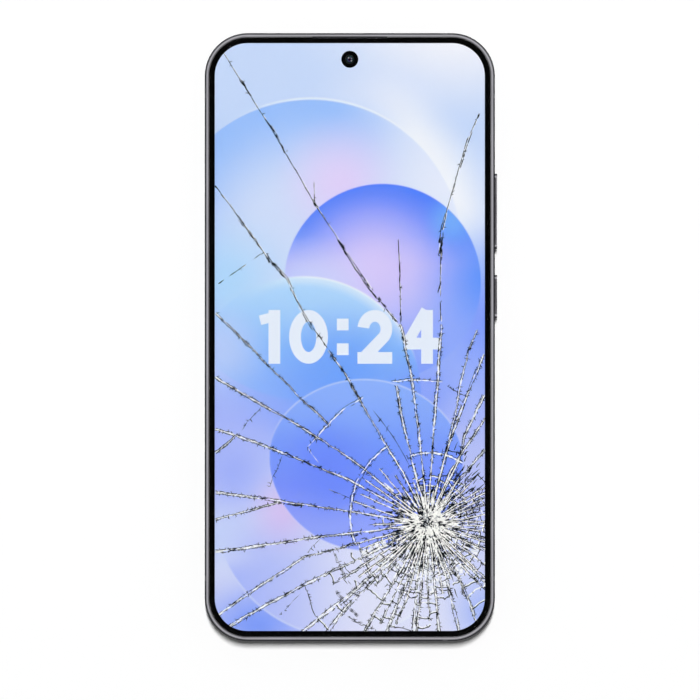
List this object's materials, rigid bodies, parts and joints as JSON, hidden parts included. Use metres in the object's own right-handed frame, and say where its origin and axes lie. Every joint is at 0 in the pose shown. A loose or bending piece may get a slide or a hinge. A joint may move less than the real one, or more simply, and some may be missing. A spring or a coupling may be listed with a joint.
{
  "type": "smartphone with a shattered screen",
  "caption": "Slim smartphone lying on its back, screen lit, its cover glass shattered from an impact near the lower right corner.",
  "frame": {"origin": "under the middle of the body, level with the lowest lens ring on the back", "axes": "+X to the right as the screen is read, +Y towards the top edge, +Z out of the screen"},
  "size_m": [0.0724, 0.1504, 0.0098],
  "materials": {
    "frame_metal": "satin anodised dark grey",
    "antenna_plastic": "moulded, matched to the band",
    "cover_glass": "polished, shattered, crushed white at the impact",
    "screen": "lit panel with soft fields of blue and lilac, black border",
    "seal_rubber": "soft black",
    "ribbon": "polyimide film with copper tracks",
    "camera_body": "black moulding",
    "camera_lens": "coated glass over a black barrel",
    "speaker_plastic": "moulded",
    "mesh_metal": "fine black mesh",
    "sensor_glass": "dark filter glass",
    "copper": "bare copper",
    "board": "solder resist with gold pads",
    "chip": "moulded packages",
    "shield_steel": "thin pressed sheet",
    "cover_plastic": "moulded",
    "screw_steel": "small machine screws",
    "microphone_metal": "gold plated cans",
    "plate_metal": "blasted and anodised",
    "ring_metal": "turned, polished edge",
    "flash": "frosted lens over a yellow lamp",
    "battery_film": "black pouch",
    "glue_film": "stretch-release film",
    "usb_steel": "drawn shell",
    "usb_plastic": "moulded with gold contacts",
    "key_metal": "satin anodised dark grey",
    "tray_metal": "satin anodised dark grey",
    "back_glass": "etched satin dark grey"
  },
  "bodies": {
    "phone": {"frame": "frame_metal", "antenna_breaks": "antenna_plastic", "cover_glass": "cover_glass", "display_gasket": "seal_rubber", "display_panel": "screen", "display_flex": "ribbon", "front_camera": "camera_body", "front_camera_lens": "camera_lens", "earpiece_speaker": "speaker_plastic", "earpiece_mesh": "mesh_metal", "fingerprint_sensor": "sensor_glass", "vapour_chamber": "copper", "main_board": "board", "chips": "chip", "front_shields": "shield_steel", "rear_shields": "shield_steel", "board_cover": "cover_plastic", "board_screws": "screw_steel", "main_camera": "camera_body", "wide_camera": "camera_body", "tele_camera": "camera_body", "camera_plate": "plate_metal", "lens_rings": "ring_metal", "lens_windows": "camera_lens", "flash_led": "flash", "flash_lens": "flash", "battery": "battery_film", "battery_circuit": "board", "battery_adhesive": "glue_film", "charging_coil": "copper", "main_flex": "ribbon", "sub_board": "board", "sub_board_screws": "screw_steel", "usb_shell": "usb_steel", "usb_tongue": "usb_plastic", "usb_seal": "seal_rubber", "vibration_motor": "shield_steel", "loudspeaker": "speaker_plastic", "speaker_mesh": "mesh_metal", "bottom_microphone": "microphone_metal", "top_microphone": "microphone_metal", "side_key_flex": "ribbon", "key_domes": "shield_steel", "sim_reader": "shield_steel", "back_cover": "back_glass", "back_adhesive": "seal_rubber"},
    "volume_rocker": {"volume_key": "key_metal"},
    "power_button": {"power_key": "key_metal"},
    "card_tray": {"sim_tray": "tray_metal", "sim_tray_seal": "seal_rubber"}
  },
  "joints": [
    {"name": "volume_rocker_press", "type": "hinge", "parent": "phone", "child": "volume_rocker", "pos_m": [0.0346, 0.0312, 0.0058], "axis": [0, 0, 1], "range_deg": [-0.8, 0.8], "stiffness_Nm_per_rad": 0.3},
    {"name": "power_button_press", "type": "slide", "parent": "phone", "child": "power_button", "axis": [-1, 0, 0], "range_m": [0, 0.00024], "stiffness_N_per_m": 4000},
    {"name": "card_tray_slide", "type": "slide", "parent": "phone", "child": "card_tray", "axis": [0, -1, 0], "range_m": [0, 0.015]}
  ]
}
